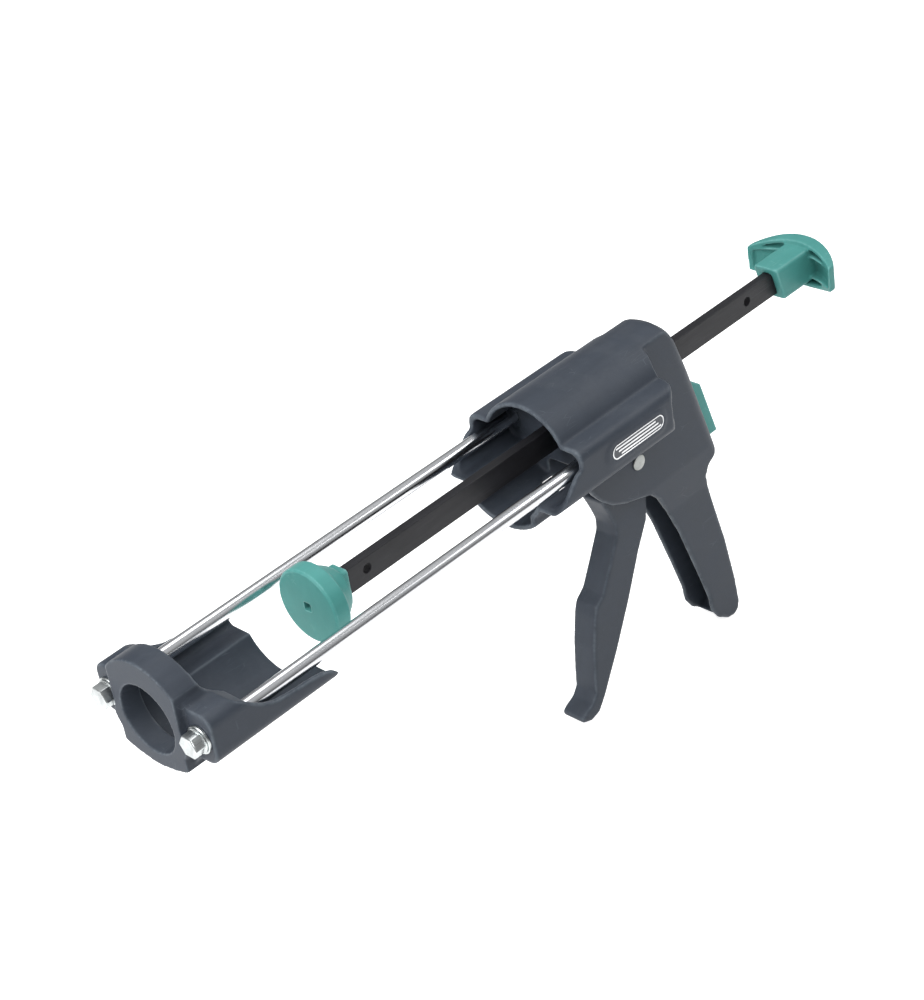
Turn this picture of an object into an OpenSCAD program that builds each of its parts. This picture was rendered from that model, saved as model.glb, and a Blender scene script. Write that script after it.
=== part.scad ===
// Skeleton caulking gun: two rails, a front cradle, a moulded body and a push bar.
// Origin at the centre of the nozzle bore on its front face, +X forward, +Y left, +Z up.

/* [Rails] */
// Diameter of each rail
rail_d = 8; // [7:0.5:9]
// Distance between the two rail centres
rail_gap = 64; // [62:1:68]
// Front end of the rails, behind the front face
rail_front = 10; // [8:1:13]
// Rear end of the rails, behind the front face
rail_rear = 312; // [308:1:320]
// Across flats of the rail nuts
nut_flats = 13; // [12:0.5:14]
// Thickness of the rail nuts
nut_thick = 6.5; // [5:0.5:8]

/* [Front frame] */
// Diameter of the nozzle bore
bore_d = 37; // [30:1:40]
// Thickness of the plate round the bore
plate_t = 12; // [9:1:14]
// Radius of the cartridge seat
seat_r = 26; // [25:0.5:26.5]
// Radius of the raised crown
crown_r = 32; // [31:0.5:34]
// Half width of the raised crown
crown_half = 24; // [22:0.5:26]
// Length of the crown along the axis
crown_len = 15; // [12:1:20]
// Radius under the front plate
belly_r = 26.5; // [26:0.5:29]
// Half width of the keel under the cradle
keel_half = 22.5; // [18:0.5:24]
// Depth of the keel below the axis
keel_down = 26; // [24:0.2:27]
// Radius of the keel's underside
keel_round = 60; // [50:1:90]
// Length of the cradle from the front face
cradle_len = 83; // [70:1:110]
// Length of the solid lugs from the front face
lug_len = 28; // [24:1:34]
// Plastic outside the rail centres at the lugs
lug_edge = 9; // [8.5:0.5:11]
// Height of the lugs above the rail centres
lug_up = 10.4; // [9:0.2:12]
// Depth of the lugs below the rail centres
lug_down = 13.4; // [12:0.2:15]
// Setback of the lug face from the bore face
lug_setback = 5; // [4:0.5:6]

/* [Bolts] */
// Thread diameter of the front bolts
bolt_d = 5; // [4:0.5:6]
// Across flats of the bolt heads
bolt_flats = 11; // [9:0.5:13]
// Height of the bolt heads
bolt_head = 6.5; // [4:0.5:8]
// Reach of the bolts into the rails
bolt_reach = 14; // [10:1:20]
// Outside diameter of the washers
washer_d = 15; // [13:0.5:18]
// Thickness of the washers
washer_t = 1.5; // [1:0.25:2.5]

/* [Body shell] */
// Radius of the middle lobe on top
top_r = 30; // [29:0.5:32]
// Radius of the middle lobe underneath
low_r = 34; // [32:0.5:36]
// Plastic outside the rail centres at the body
lobe_edge = 8; // [7.5:0.5:11]
// Height of the rail lobes above the axis
lobe_up = 13.5; // [13:0.5:16]
// Depth of the rail lobes below the axis
lobe_down = 15; // [14:0.5:17]
// Wall of the open shell
shell_wall = 2.8; // [2:0.2:3.4]
// Upper edge of the mouth, behind the front face
mouth_top = 262; // [256:1:268]
// Lower lip of the mouth, behind the front face
mouth_low = 241; // [234:1:250]
// Front face of the bulkhead, behind the front face
bulk_x = 288; // [284:1:290]
// Thickness of the bulkhead
bulk_t = 6; // [5:0.5:7]
// Rear end of the rail lobes
shell_rear = 343; // [340:1:346]
// Length of the blank badge
badge_len = 42; // [30:1:46]
// Height of the blank badge
badge_h = 9; // [6:0.5:12]

/* [Handle] */
// Half width of the body sides beside the trigger
side_half = 14; // [13.5:0.25:16]
// Room between the trigger and the sides of its bay
bay_room = 2; // [1.6:0.1:2.4]
// Half width of the hand grip
grip_half = 11; // [10.75:0.25:13]
// Wall of the grip at its back and foot
grip_wall = 3.4; // [2.6:0.2:4.4]
// Depth of the grip foot below the axis
grip_foot = 189; // [184:1:196]
// Rearward reach of the grip foot
foot_x = 411; // [406:1:416]

/* [Trigger] */
// Half width of the trigger
trigger_half = 8; // [7:0.25:8.1]
// Depth of the trigger tip below the axis
trigger_foot = 185.5; // [180:0.5:192]
// Pivot position behind the front face
pivot_x = 332.3; // [331:0.1:333]
// Pivot depth below the axis
pivot_z = 39; // [38:0.5:40]
// Diameter of the pivot pin
pivot_d = 6; // [5:0.5:7]
// Diameter of the pivot pin heads
pivot_head = 9.2; // [8.5:0.1:11]
// Diameter of the steel nose pin
nose_d = 6; // [5.5:0.25:6.5]

/* [Push bar] */
// Thickness of the push bar
bar_t = 5.5; // [4.5:0.25:6]
// Height of the push bar
bar_h = 14.5; // [13:0.25:15]
// Front end of the push bar as drawn
bar_front = 118; // [117:0.5:119]
// Rear end of the push bar as drawn
bar_rear = 496; // [493:1:499]
// Diameter of the two cross holes in the bar
cross_d = 5.5; // [4:0.5:6.5]
// Diameter of the pusher disc
disc_d = 41.2; // [38:0.2:44]
// Thickness of the pusher disc
disc_t = 10; // [9:0.5:11]
// Front face of the pusher as drawn
disc_x = 103; // [102:0.5:104]
// Width of the pull handle
pull_w = 58; // [52:1:64]
// Height of the pull handle
pull_h = 29; // [26:0.5:34]
// Radius of the pull handle's back
pull_r = 37; // [33.5:0.5:40]
// Lean of the pull handle's bow
pull_lean = 1; // [0:1:6]

/* [Plates and springs] */
// Thickness of the drive plate and brake plate
plate_thick = 3; // [2.5:0.25:3.25]
// Width of the drive plate and brake plate
plate_w = 18; // [16:0.5:19]
// Tilt of the brake plate at rest
brake_tilt = 4; // [3:0.5:5]
// Outside diameter of the springs
spring_d = 19.4; // [19:0.1:19.6]
// Wire diameter of the springs
wire_d = 1.5; // [1.2:0.1:1.6]
// Half width of the release button
button_half = 6.5; // [5.5:0.25:7]
// How far the release button stands out
button_proud = 7.8; // [6:0.2:9]

/* [Fits] */
// Gap round a pin that turns
pin_gap = 0.05; // [0.02:0.01:0.08]
// Gap round the sliding bar
bar_gap = 0.3; // [0.25:0.05:0.5]
// Gap round fixed rails and bolts
fixed_gap = 0.05; // [0.02:0.01:0.1]
// Gap beside moving mouldings
side_gap = 0.4; // [0.3:0.05:0.6]

/* [Hidden] */
$fn = 72;
big = 400;
rail_y = rail_gap / 2;
lug_half = rail_y + lug_edge;
lobe_half = rail_y + lobe_edge;
bay_half = trigger_half + bay_room;
grip_in = trigger_half + 1.5 * side_gap;
seat_floor = 12.2;
arm_half = lug_half;
bulk_rear = bulk_x + bulk_t;
nose_x = -pivot_x + 4;
nose_z = -pivot_z + 22.5;
drive_x = nose_x + nose_d / 2 + 0.3;
rib_x = 350;
rib_t = 3;
brake_x = -363;
brake_z = 17.5;
brake_low = -30;
hub_half = bay_half - side_gap;
grey = [0.29, 0.32, 0.35];
teal = [0.28, 0.58, 0.53];
zinc = [0.78, 0.8, 0.82];
dark = [0.1, 0.1, 0.11];
steel = [0.55, 0.56, 0.58];

// Rear face of the body along the button, at height z
function rear_x(z) = -386 + 0.304 * (z + 12);
// Smooth step from 0 to 1
function ease(t) = (1 - cos(180 * t)) / 2;

// Extrude a (y, z) outline along X
module along_x(x0, x1) {
  translate([x0, 0, 0])
    rotate([90, 0, 90])
      linear_extrude(height = x1 - x0)
        children();
}

// Extrude an (x, z) outline symmetrically across Y
module across(width) {
  rotate([90, 0, 0])
    linear_extrude(height = width, center = true)
      children();
}

// A cylinder along X from x0 to x1
module rod_x(x0, x1, d) {
  translate([x0, 0, 0])
    rotate([0, 90, 0])
      cylinder(d = d, h = x1 - x0);
}

// A cylinder along Y centred on the middle plane
module pin_y(d, width) {
  rotate([90, 0, 0])
    cylinder(d = d, h = width, center = true);
}

// A hexagonal prism along X
module hex_x(x0, x1, flats) {
  translate([x0, 0, 0])
    rotate([0, 90, 0])
      cylinder(d = flats / cos(30), h = x1 - x0, $fn = 6);
}

// Repeat at both rails
module both_rails() {
  for (s = [-1, 1]) translate([0, s * rail_y, 0]) children();
}

// A rounded rectangle between two corners
module box2(a0, b0, a1, b1, r) {
  translate([a0 + r, b0]) square([a1 - a0 - 2 * r, b1 - b0]);
  translate([a0, b0 + r]) square([a1 - a0, b1 - b0 - 2 * r]);
  for (a = [a0 + r, a1 - r]) for (b = [b0 + r, b1 - r]) translate([a, b]) circle(r = r);
}

// Lobed section of the body, shrunk by inset
module lobes(inset) {
  intersection() {
    circle(r = top_r - inset);
    translate([-big / 2, 0]) square([big, big]);
  }
  intersection() {
    circle(r = low_r - inset);
    translate([-21 + inset, -big]) square([42 - 2 * inset, big]);
  }
  intersection() {
    circle(r = top_r - inset);
    translate([-big / 2, -big + 1]) square([big, big]);
  }
  box2(-lobe_half + inset, -lobe_down + inset, lobe_half - inset, lobe_up - inset, 6);
}

// The hole the push bar slides in
module bar_slot(x0, x1) {
  along_x(x0, x1)
    translate([-bar_t / 2 - bar_gap, -bar_h / 2 - bar_gap])
      square([bar_t + 2 * bar_gap, bar_h + 2 * bar_gap]);
}

// ---------------------------------------------------------------- front frame

// Section of the keel under the front plate and cradle
module foot2() {
  intersection() {
    translate([-keel_half, -big]) square([2 * keel_half, big]);
    translate([0, keel_round - keel_down]) circle(r = keel_round);
  }
}

// Section of the plate and crown round the nozzle bore
module crown2() {
  intersection() {
    circle(r = crown_r);
    translate([-crown_half, 0]) square([2 * crown_half, big]);
  }
  intersection() {
    circle(r = belly_r);
    translate([-big / 2, -big + 1]) square([big, big]);
  }
  foot2();
}

// Section of the cradle, outside
module cradle2() {
  intersection() {
    circle(r = seat_r + 3.4);
    translate([-big / 2, -big + 12]) square([big, big]);
  }
  box2(-arm_half, -lug_down, arm_half, 14, 6.5);
  foot2();
}

// Top line of the cradle arms, swept across the part to cut it
module cradle_cut2() {
  polygon([[-cradle_len - 10, 40], [-cradle_len - 10, -9], [-cradle_len + 0.5, -9],
    [-cradle_len + 3, -6.5], [-cradle_len + 9, -4], [-cradle_len + 15, -3], [-54, -2],
    [-44, -0.5], [-37, 2.5], [-32, 6], [-27.5, 9.6], [-23.5, 12.2], [-20, 14.5],
    [-crown_len - 2, 18], [-crown_len - 0.5, 22], [-crown_len, 40]]);
}

// Section of one lug, round outside and sweeping up to the crown
module lug2() {
  box2(14, -lug_down, lug_half, lug_up, 9.5);
  polygon([[21, 8], [21, 22], [crown_half, 17.5], [26.5, 13], [29.5, lug_up + 0.4], [31.5, lug_up],
    [31.5, 8]]);
}

module front_frame() {
  color(grey)
    difference() {
      union() {
        along_x(-crown_len - 6, 0) crown2();
        along_x(-cradle_len, -lug_setback) cradle2();
        for (s = [0, 1]) mirror([0, s, 0])
          along_x(-lug_len - 12, -lug_setback) lug2();
      }
      rod_x(-cradle_len - 1, -plate_t, 2 * seat_r);
      rod_x(-plate_t - 1, 1, bore_d);
      along_x(-cradle_len - 1, -lug_len)
        box2(-arm_half + 3, -seat_floor, arm_half - 3, 30, 4);
      across(2 * big) cradle_cut2();
      both_rails() rod_x(-lug_len - 1, -rail_front, rail_d + 2 * fixed_gap);
      both_rails() rod_x(-rail_front - 1, 1, bolt_d + 2 * fixed_gap);
      both_rails() rod_x(-lug_setback, 1, washer_d + 1);
    }
}

module rail() {
  difference() {
    rod_x(-rail_rear, -rail_front, rail_d);
    rod_x(-rail_front - bolt_reach - 2, -rail_front + 1, bolt_d + 2 * fixed_gap);
  }
}

module left_rail() {
  color(zinc) translate([0, rail_y, 0]) rail();
}

module right_rail() {
  color(zinc) translate([0, -rail_y, 0]) rail();
}

module front_bolts() {
  color(zinc)
    both_rails() {
      rod_x(-rail_front - bolt_reach, -lug_setback + washer_t + 0.5, bolt_d);
      translate([-lug_setback + washer_t, 0, 0])
        rotate([0, 90, 0])
          cylinder(d = bolt_flats + 2.4, h = 1.3);
      intersection() {
        hex_x(-lug_setback + washer_t + 1, -lug_setback + washer_t + bolt_head, bolt_flats);
        translate([-lug_setback + washer_t + 1, 0, 0])
          rotate([0, 90, 0])
            union() {
              cylinder(d = bolt_flats * 1.2, h = bolt_head - 2);
              translate([0, 0, bolt_head - 2])
                cylinder(d1 = bolt_flats * 1.2, d2 = bolt_flats * 0.94, h = 1);
            }
      }
    }
}

module front_washers() {
  color(zinc)
    both_rails()
      difference() {
        rod_x(-lug_setback, -lug_setback + washer_t, washer_d);
        rod_x(-lug_setback - 1, -lug_setback + washer_t + 1, bolt_d + 2 * fixed_gap);
      }
}

module rail_nuts() {
  color(zinc)
    both_rails()
      difference() {
        hex_x(-bulk_rear - 6 - nut_thick, -bulk_rear - 6, nut_flats);
        rod_x(-rail_rear - 1, -bulk_rear, rail_d + 2 * fixed_gap);
      }
}

// ---------------------------------------------------------------- body

// Outline of the sides, seen from the left, with the hand grip
module side2() {
  polygon([[-300, 33], [-359, 31], [-366, 28.4], [-371, 24], [-375, 17], [-379.5, 4], [-386, -12],
    [rear_x(-60), -60], [rear_x(-60) - 0.8, -66], [-398, -70.5], [-392.5, -75.5],
    [-390.5, -81], [-394.5, -99], [-foot_x + 8, -132], [-foot_x + 2, -164],
    [-foot_x, -grip_foot + 7], [-foot_x + 1.5, -grip_foot + 2], [-foot_x + 5, -grip_foot],
    [-foot_x + 11, -grip_foot + 0.6], [-foot_x + 20, -grip_foot + 6.5],
    [-foot_x + 25.5, -grip_foot + 14.5], [-384, -164],
    [-377, -143], [-364, -106], [-355, -86], [-348, -73], [-341, -66], [-331, -62.5],
    [-320, -59.5], [-309, -54.5], [-302, -48.5], [-296, -41.5], [-291, -33], [-291, 20]]);
}

// Outline of the hollow behind the bulkhead and down the grip
module bay2() {
  polygon([[-bulk_rear, 20], [-364, 20], [-368, 18], [-375.5, 3], [-382.5, -13],
    [rear_x(-60) + 3.5, -60], [rear_x(-60) + 2.4, -66], [-394, -69], [-389, -74],
    [-387, -80], [-391, -99], [-foot_x + 8 + grip_wall, -132],
    [-foot_x + 2 + grip_wall, -164], [-foot_x + grip_wall, -grip_foot + 8],
    [-foot_x + 6 + grip_wall, -grip_foot + grip_wall], [-370, -grip_foot + grip_wall],
    [-350, -120], [-320, -80], [-280, -80], [-280, -20], [-bulk_rear, -20]]);
}

// Section of the sides: wide beside the trigger, narrow at the grip
module sides2() {
  intersection() {
    circle(r = top_r);
    translate([-side_half, 0]) square([2 * side_half, big]);
  }
  polygon([[-side_half, 1], [-side_half, -62], [-grip_half, -88], [-grip_half, -big],
    [grip_half, -big], [grip_half, -88], [side_half, -62], [side_half, 1]]);
}

// What the slanted mouth takes away
module mouth2() {
  polygon(concat([[-mouth_low + 30, 60], [-mouth_top, 60]],
    [for (i = [0 : 12]) [-mouth_top + (mouth_top - mouth_low) * i / 12,
      3 - 16 * ease(i / 12)]],
    [[-mouth_low + 30, -13]]));
}

// Space in front of the rounded back, following its slope
module round_back() {
  translate([rear_x(-12), 0, -12])
    rotate([0, atan(0.304), 0])
      linear_extrude(height = big, center = true)
        box2(0, -side_half, 150, side_half, 9);
}

// Rounded top of the back, turned about an upright axis, with all the room before and below it
module dome_back() {
  translate([-345, 0, 0])
    rotate_extrude()
      polygon([[0, 33], [12, 31.3], [21, 28.4], [26, 24], [30, 17], [34.5, 4], [41, -12],
        [0, -12]]);
  translate([-345, -big, -big]) cube([big * 2, big * 2, big * 2]);
  translate([-big * 2, -big, -big - 12]) cube([big * 3, big * 2, big]);
}

// Bore behind each rail nut, kept inside the side wall
module nut_bores() {
  for (s = [0, 1]) mirror([0, s, 0])
    translate([0, rail_y, 0])
      intersection() {
        rod_x(-shell_rear - 3, -bulk_rear - 6, nut_flats + 4);
        translate([-big * 2, -big, -big]) cube([big * 3, big + nut_flats / 2 + 0.3, big * 2]);
      }
}

module body() {
  color(grey)
    difference() {
      union() {
        intersection() {
          along_x(-shell_rear - 2, -mouth_low) lobes(0);
          linear_extrude(height = big, center = true) {
            box2(-shell_rear - 2, -top_r, -mouth_low + 20, top_r, 16);
            box2(-shell_rear + 1, -lobe_half - 1, -mouth_low + 20, lobe_half + 1, 12);
          }
        }
        intersection() {
          across(2 * big) side2();
          along_x(-big * 2, 0) sides2();
          dome_back();
          union() {
            round_back();
            translate([-big * 2, -big, -big]) cube([big * 3, big * 2, big - 72]);
          }
        }
        for (s = [0, 1]) mirror([0, s, 0])
          translate([-shell_rear + 37, lobe_half - 1, 0])
            rotate([-90, 0, 0])
              linear_extrude(height = 1.6)
                box2(-23.4, -6.8, 25, 6.8, 6.5);
      }
      across(2 * big) mouth2();
      along_x(-bulk_x, -mouth_low + 1) lobes(shell_wall);
      across(2 * bay_half)
        intersection() {
          bay2();
          translate([-big * 2, -66]) square([big * 2, big]);
        }
      across(2 * grip_in)
        intersection() {
          bay2();
          translate([-big * 2, -big]) square([big * 2, big - 64]);
        }
      bar_slot(-bulk_rear - 1, -bulk_x + 1);
      bar_slot(-395, -360);
      nut_bores();
      both_rails() rod_x(-shell_rear, -bulk_x + 1, rail_d + 2 * fixed_gap);
      translate([-pivot_x, 0, -pivot_z]) pin_y(pivot_d + 2 * pin_gap, big);
      across(2 * button_half + 2 * side_gap)
        polygon([[rear_x(-20) - 20, -20], [rear_x(-20) + 20, -20],
          [rear_x(-62.5) + 20, -62.5], [rear_x(-62.5) - 20, -62.5]]);
      for (s = [0, 1]) mirror([0, s, 0])
        translate([-shell_rear + 37, lobe_half + 0.3, 0])
          rotate([-90, 0, 0])
            linear_extrude(height = 1)
              box2(-badge_len / 2, -badge_h / 2, badge_len / 2, badge_h / 2, badge_h / 2 - 0.1);
    }
  color(grey)
    difference() {
      along_x(-rib_x, -rib_x + rib_t)
        translate([-bay_half - 1, -20])
          square([2 * bay_half + 2, 41.5]);
      bar_slot(-rib_x - 1, -rib_x + rib_t + 1);
    }
}

module badges() {
  color([0.88, 0.89, 0.9])
    for (s = [0, 1]) mirror([0, s, 0])
      translate([-shell_rear + 37, lobe_half + 0.3, 0])
        rotate([-90, 0, 0])
          linear_extrude(height = 0.5)
            box2(-badge_len / 2, -badge_h / 2, badge_len / 2, badge_h / 2, badge_h / 2 - 0.1);
}

// ---------------------------------------------------------------- trigger

// Finger lever below the body, seen from the left
module lever2() {
  polygon([[-307, -54], [-312, -65], [-315.5, -74], [-315, -81], [-306.5, -97],
    [-299, -110.5], [-292.5, -115.5], [-290.3, -121], [-286.5, -140], [-284.2, -160],
    [-283.6, -170], [-280, -175], [-274, -177.5], [-270.5, -180], [-271, -trigger_foot + 2.5],
    [-278, -trigger_foot], [-285, -trigger_foot + 2], [-291, -176], [-305.5, -152],
    [-319.5, -126], [-332, -99.6], [-341, -84], [-343, -70], [-342, -58]]);
}

// Hub and short arm above the pivot
module hub2() {
  translate([-pivot_x, -pivot_z]) circle(r = 9);
  translate([nose_x - 2.2, nose_z]) circle(r = 4.2);
  polygon([[-pivot_x - 8.6, -pivot_z + 2], [nose_x - 6.35, nose_z + 0.6],
    [nose_x + 1.9, nose_z - 0.8], [-pivot_x + 7.2, -pivot_z + 4.5]]);
  polygon([[-pivot_x + 8.9, -pivot_z + 1], [-307, -54], [-342, -58],
    [-pivot_x - 8.9, -pivot_z + 1]]);
}

module trigger() {
  color(grey)
    difference() {
      union() {
        across(2 * trigger_half) lever2();
        across(2 * trigger_half) hub2();
        translate([-pivot_x, 0, -pivot_z]) pin_y(15, 2 * hub_half);
      }
      across(2 * trigger_half - 5)
        intersection() {
          translate([-4, 4]) lever2();
          translate([-4.4, 0]) lever2();
          translate([-big, -big + 4]) square([big, big - 74]);
        }
      translate([-pivot_x, 0, -pivot_z]) pin_y(pivot_d + 2 * pin_gap, big);
      translate([nose_x, 0, nose_z]) pin_y(nose_d + 2 * 0.01, big);
    }
}

module nose_pin() {
  color(steel)
    translate([nose_x, 0, nose_z]) pin_y(nose_d, 2 * trigger_half);
}

module trigger_pin() {
  color(zinc)
    translate([-pivot_x, 0, -pivot_z]) {
      pin_y(pivot_d, 2 * side_half);
      translate([0, side_half + 0.6, 0]) pin_y(pivot_head, 1.2);
    }
}

module pin_cap() {
  color(zinc)
    translate([-pivot_x, -side_half - 0.6, -pivot_z]) pin_y(pivot_head, 1.2);
}

// ---------------------------------------------------------------- plates

// A plate with the bar's slot, its middle plane at x = 0
module slotted(z0, z1, clear) {
  translate([-plate_thick / 2, 0, 0])
    along_x(0, plate_thick)
      difference() {
        box2(-plate_w / 2, z0, plate_w / 2, z1, 2.5);
        translate([-bar_t / 2 - bar_gap, -bar_h / 2 - clear])
          square([bar_t + 2 * bar_gap, bar_h + 2 * clear]);
      }
}

module drive_plate() {
  color(steel)
    translate([drive_x + plate_thick / 2, 0, 0]) slotted(-30, 15, 0.3);
}

module brake_plate() {
  color(steel)
    translate([brake_x, 0, brake_z])
      rotate([0, brake_tilt, 0])
        translate([0, 0, -brake_z]) slotted(brake_low, brake_z, 0.45);
}

// A coil round the bar from x0 to x1, built from tilted half rings joined by small beads
module coil(x0, x1, turns) {
  mean = (spring_d - wire_d) / 2;
  rise = (x1 - x0 - wire_d) / (2 * turns);
  lean = asin(rise / (2 * mean));
  translate([x0 + wire_d / 2, 0, 0])
    rotate([0, 90, 0]) {
      for (k = [0 : 2 * turns - 1])
        translate([0, 0, rise * (k + 0.5)])
          rotate([0, 0, 180 * k])
            rotate([0, lean, 0])
              rotate_extrude(angle = 180)
                translate([mean, 0]) circle(d = wire_d);
      for (k = [0 : 2 * turns])
        translate([(k % 2 == 0 ? 1 : -1) * mean * cos(lean), 0, rise * k])
          sphere(d = wire_d + 0.12);
    }
}

module drive_spring() {
  color(steel) coil(drive_x + plate_thick + 0.1, -bulk_rear - 0.1, 5);
}

module brake_spring() {
  color(steel) coil(brake_x + 2.3, -rib_x - 0.1, 2);
}

module release_button() {
  color(teal)
    union() {
      across(2 * button_half)
        polygon([[rear_x(-20.4) + 7, -20.4], [rear_x(-20.4) - 1.5, -20.4],
          [rear_x(-26) - button_proud, -26], [rear_x(-62) - button_proud, -62],
          [rear_x(-62) + 7, -62]]);
      across(2 * button_half + 3)
        polygon([[rear_x(-16.5) + 7, -16.5], [rear_x(-16.5) + 4.2, -16.5],
          [rear_x(-64) + 4.2, -64], [rear_x(-64) + 7, -64]]);
      across(8)
        polygon([[rear_x(-24) + 6, -31], [rear_x(-24) + 6, -21], [-368.2, -22], [-368.2, -28]]);
    }
}

// ---------------------------------------------------------------- push bar

module push_bar() {
  color(dark)
    difference() {
      along_x(-bar_rear, -bar_front)
        box2(-bar_t / 2, -bar_h / 2, bar_t / 2, bar_h / 2, 0.4);
      for (x = [-141.7, -448.8]) translate([x, 0, 0.8]) pin_y(cross_d, big);
      rod_x(-bar_front - 9, -bar_front + 1, 3 + 2 * fixed_gap);
      rod_x(-bar_rear - 1, -bar_rear + 9, 3 + 2 * fixed_gap);
    }
}

module pusher_disc() {
  color(teal)
    difference() {
      union() {
        rotate([0, 90, 0])
          rotate_extrude()
            polygon([[0, -disc_x], [disc_d / 2 - 1, -disc_x], [disc_d / 2, -disc_x - 1],
              [disc_d / 2, -disc_x - disc_t + 1], [disc_d / 2 - 1, -disc_x - disc_t],
              [disc_d / 2 - 3, -disc_x - disc_t - 1], [13, -disc_x - disc_t - 8],
              [11, -disc_x - disc_t - 10], [0, -disc_x - disc_t - 10]]);
        along_x(-disc_x - disc_t - 14, -disc_x - disc_t - 9)
          box2(-bar_t / 2 - 3, -bar_h / 2 - 2.6, bar_t / 2 + 3, bar_h / 2 + 2.6, 2);
      }
      along_x(-disc_x - disc_t - 20, -bar_front)
        translate([-bar_t / 2 - fixed_gap, -bar_h / 2 - fixed_gap])
          square([bar_t + 2 * fixed_gap, bar_h + 2 * fixed_gap]);
      along_x(-disc_x - 4, -disc_x + 1)
        translate([-2.5, -2.5]) square([5, 5]);
      rod_x(-bar_front - 1, -disc_x, 3 + 2 * fixed_gap);
    }
}

module pusher_screw() {
  color(zinc)
    union() {
      rod_x(-bar_front - 8, -disc_x - 3, 3);
      rod_x(-disc_x - 4, -disc_x - 2.2, 4.8);
    }
}

// Plan outline of the pull handle's crescent bow, its back at x = 0
module bow2(inset) {
  difference() {
    translate([pull_r, 0]) circle(r = pull_r - inset);
    translate([56.5, 0]) circle(r = 47);
    translate([pull_r, -big / 2]) square([big, big]);
  }
}

// Front outline of the bow: tall in the middle, low at the tips
module bow_front2(side, roof) {
  intersection() {
    box2(-pull_w / 2 + side, -pull_h / 2 + roof, pull_w / 2 - side, pull_h / 2 - roof, 5 - side);
    translate([0, 60 - pull_h / 2]) circle(r = 60 - roof);
    translate([0, pull_h / 2 - 75]) circle(r = 75 - roof);
  }
}

// Place things in the leaning frame of the pull handle, its back at x = 0
module lean_back() {
  translate([-510.5, 0, 0]) rotate([0, pull_lean, 0]) children();
}

module pull_handle() {
  color(teal)
    difference() {
      union() {
        lean_back()
          difference() {
            intersection() {
              linear_extrude(height = big, center = true) bow2(0);
              along_x(-10, 60) bow_front2(0, 0);
            }
            difference() {
              intersection() {
                linear_extrude(height = big, center = true)
                  difference() {
                    translate([pull_r, 0]) circle(r = pull_r - 2.8);
                    translate([pull_r, -big / 2]) square([big, big]);
                  }
                along_x(-10, 60) bow_front2(2.4, 2.8);
              }
              for (s = [-1, 1]) translate([-10, -big / 2, s * 6.6 - 0.9]) cube([80, big, 1.8]);
            }
          }
        difference() {
          along_x(-506, -460) box2(-8.5, -10.2, 8.5, 11.6, 2);
          across(big)
            polygon([[-470, 20], [-470, 11.6], [-476.5, -10.2], [-476.5, -20], [-440, -20],
              [-440, 20]]);
        }
      }
      along_x(-bar_rear, -460)
        translate([-bar_t / 2 - fixed_gap, -bar_h / 2 - fixed_gap])
          square([bar_t + 2 * fixed_gap, bar_h + 2 * fixed_gap]);
      rod_x(-520, -bar_rear + 1, 3 + 2 * fixed_gap);
      rod_x(-520, -508, 7);
    }
}

module handle_screw() {
  color(zinc)
    union() {
      rod_x(-509, -bar_rear + 8, 3);
      rod_x(-509.8, -508.1, 6);
    }
}

front_frame();
left_rail();
right_rail();
front_bolts();
front_washers();
rail_nuts();
body();
badges();
trigger();
trigger_pin();
pin_cap();
nose_pin();
drive_plate();
drive_spring();
brake_plate();
brake_spring();
release_button();
push_bar();
pusher_disc();
pusher_screw();
pull_handle();
handle_screw();
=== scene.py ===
"""Looks for a skeleton caulking gun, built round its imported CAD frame.

Mouldings are cast over their CAD solids with softened edges, turned and pressed
steel is modelled with bmesh operators, and every finish is a procedural material.
"""

from __future__ import annotations

import logging
import math
from dataclasses import dataclass
from enum import Enum

import bmesh
import bpy
from mathutils import Matrix, Vector


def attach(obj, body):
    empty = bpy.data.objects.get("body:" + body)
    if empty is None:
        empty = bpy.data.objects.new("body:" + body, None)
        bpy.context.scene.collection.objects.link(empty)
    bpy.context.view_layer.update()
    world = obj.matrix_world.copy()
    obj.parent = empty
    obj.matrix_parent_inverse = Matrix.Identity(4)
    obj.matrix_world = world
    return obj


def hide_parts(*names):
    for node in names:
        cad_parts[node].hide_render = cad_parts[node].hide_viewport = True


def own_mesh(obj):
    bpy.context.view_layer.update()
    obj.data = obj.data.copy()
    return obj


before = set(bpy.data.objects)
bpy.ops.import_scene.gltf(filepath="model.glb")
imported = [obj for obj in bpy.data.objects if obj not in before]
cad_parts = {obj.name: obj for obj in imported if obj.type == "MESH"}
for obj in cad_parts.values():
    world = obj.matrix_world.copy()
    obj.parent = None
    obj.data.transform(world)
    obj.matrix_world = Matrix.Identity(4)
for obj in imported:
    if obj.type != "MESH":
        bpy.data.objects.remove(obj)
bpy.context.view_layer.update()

MM = 0.001
TRIANGLE_LIMIT = 190_000
ALONG = Vector((1, 0, 0))
ACROSS = Vector((0, 1, 0))
DUST = (0.62, 0.62, 0.6)
VECTOR, FLOAT = "NodeSocketVector", "NodeSocketFloat"
Colour = Point = tuple[float, float, float]
Socket = bpy.types.NodeSocket
log = logging.getLogger("caulking_gun")


class Body(Enum):
    """The moving bodies that a piece can ride on."""

    FRAME = "frame"
    TRIGGER = "trigger"
    BUTTON = "button"
    ROD = "rod"


class Slot(Enum):
    """Material slots named in the part's record."""

    BODY_PLASTIC = "body_plastic"
    TEAL_PLASTIC = "teal_plastic"
    ZINC = "zinc_plate"
    BLACK_BAR = "black_bar"
    PLATE_STEEL = "plate_steel"
    SPRING_STEEL = "spring_steel"
    BADGE_SILVER = "badge_silver"


# ------------------------------------------------------------------ node sheets


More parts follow.
